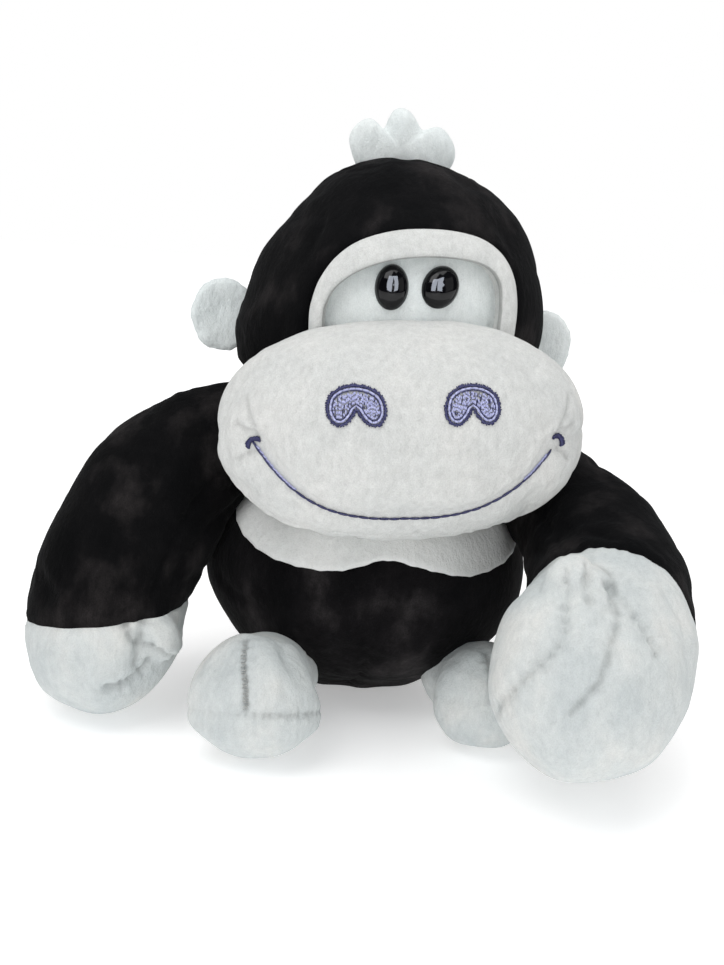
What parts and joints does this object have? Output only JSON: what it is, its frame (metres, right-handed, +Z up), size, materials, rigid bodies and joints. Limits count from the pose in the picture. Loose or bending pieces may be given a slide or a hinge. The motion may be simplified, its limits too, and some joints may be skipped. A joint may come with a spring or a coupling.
{
  "type": "stuffed monkey",
  "caption": "Sitting plush gorilla with a big pale muzzle, pale hands and feet, a tuft of hair, and a soft turning neck and limbs.",
  "frame": {"origin": "centre of the flat face under the rump that the toy sits on", "axes": "+Z up, the toy faces -Y, +X is the toy's own left side"},
  "size_m": [0.2675, 0.2011, 0.2618],
  "materials": {
    "black_plush": "short-pile black velboa, matt with a soft sheen",
    "pale_plush": "short-pile ice grey velboa, matt with a soft sheen",
    "filling": "white polyester fibre",
    "embroidery": "lilac and navy embroidery thread",
    "black_thread": "dark navy stitching thread",
    "eye_plastic": "polished black moulded plastic",
    "washer_plastic": "white moulded plastic"
  },
  "bodies": {
    "torso": {"torso_shell": "black_plush", "torso_stuffing": "filling", "chest_patch": "pale_plush"},
    "neck": {"neck_stuffing": "filling"},
    "head": {"head_shell": "black_plush", "head_stuffing": "filling", "eye_panel": "pale_plush", "brow_band": "pale_plush", "muzzle_shell": "pale_plush", "muzzle_stuffing": "filling", "mouth_line": "black_thread", "eye_right": "eye_plastic", "eye_left": "eye_plastic", "eye_washer_right": "washer_plastic", "eye_washer_left": "washer_plastic", "nostril_right": "embroidery", "nostril_left": "embroidery"},
    "tuft": {"hair_tuft": "pale_plush"},
    "ear_flap_right": {"ear_right": "pale_plush"},
    "ear_flap_left": {"ear_left": "pale_plush"},
    "arm_right": {"arm_sleeve_right": "black_plush", "hand_right": "pale_plush", "thumb_right": "pale_plush", "arm_stuffing_right": "filling"},
    "arm_left": {"arm_sleeve_left": "black_plush", "hand_left": "pale_plush", "thumb_left": "pale_plush", "arm_stuffing_left": "filling"},
    "leg_right": {"foot_upper_right": "pale_plush", "foot_sole_right": "pale_plush", "leg_stuffing_right": "filling"},
    "leg_left": {"foot_upper_left": "pale_plush", "foot_sole_left": "pale_plush", "leg_stuffing_left": "filling"}
  },
  "joints": [
    {"name": "neck_turn", "type": "hinge", "parent": "torso", "child": "neck", "pos_m": [0, -0.014, 0.138], "axis": [0, 0, 1], "range_deg": [-10, 10], "stiffness_Nm_per_rad": 1.5},
    {"name": "neck_nod", "type": "hinge", "parent": "neck", "child": "head", "pos_m": [0, -0.014, 0.138], "axis": [1, 0, 0], "range_deg": [-14, 0], "stiffness_Nm_per_rad": 3},
    {"name": "tuft_bend", "type": "hinge", "parent": "head", "child": "tuft", "pos_m": [0, -0.01, 0.241], "axis": [1, 0, 0], "range_deg": [-25, 25], "stiffness_Nm_per_rad": 0.03},
    {"name": "ear_fold_right", "type": "hinge", "parent": "head", "child": "ear_flap_right", "pos_m": [-0.0655, -0.014, 0.1705], "axis": [0, 0, 1], "range_deg": [-25, 25], "stiffness_Nm_per_rad": 0.03},
    {"name": "ear_fold_left", "type": "hinge", "parent": "head", "child": "ear_flap_left", "pos_m": [0.0655, -0.014, 0.1665], "axis": [0, 0, 1], "range_deg": [-25, 25], "stiffness_Nm_per_rad": 0.03},
    {"name": "shoulder_right", "type": "hinge", "parent": "torso", "child": "arm_right", "pos_m": [-0.048, -0.016, 0.118], "axis": [1, 0, 0], "range_deg": [-50, 25], "stiffness_Nm_per_rad": 0.6},
    {"name": "shoulder_left", "type": "hinge", "parent": "torso", "child": "arm_left", "pos_m": [0.048, -0.016, 0.118], "axis": [1, 0, 0], "range_deg": [-14, 0], "stiffness_Nm_per_rad": 1.2},
    {"name": "hip_right", "type": "hinge", "parent": "torso", "child": "leg_right", "pos_m": [-0.039, -0.054, 0.024], "axis": [1, 0, 0], "range_deg": [-12, 25], "stiffness_Nm_per_rad": 0.6},
    {"name": "hip_left", "type": "hinge", "parent": "torso", "child": "leg_left", "pos_m": [0.039, -0.048, 0.024], "axis": [1, 0, 0], "range_deg": [-3, 25], "stiffness_Nm_per_rad": 0.6}
  ]
}
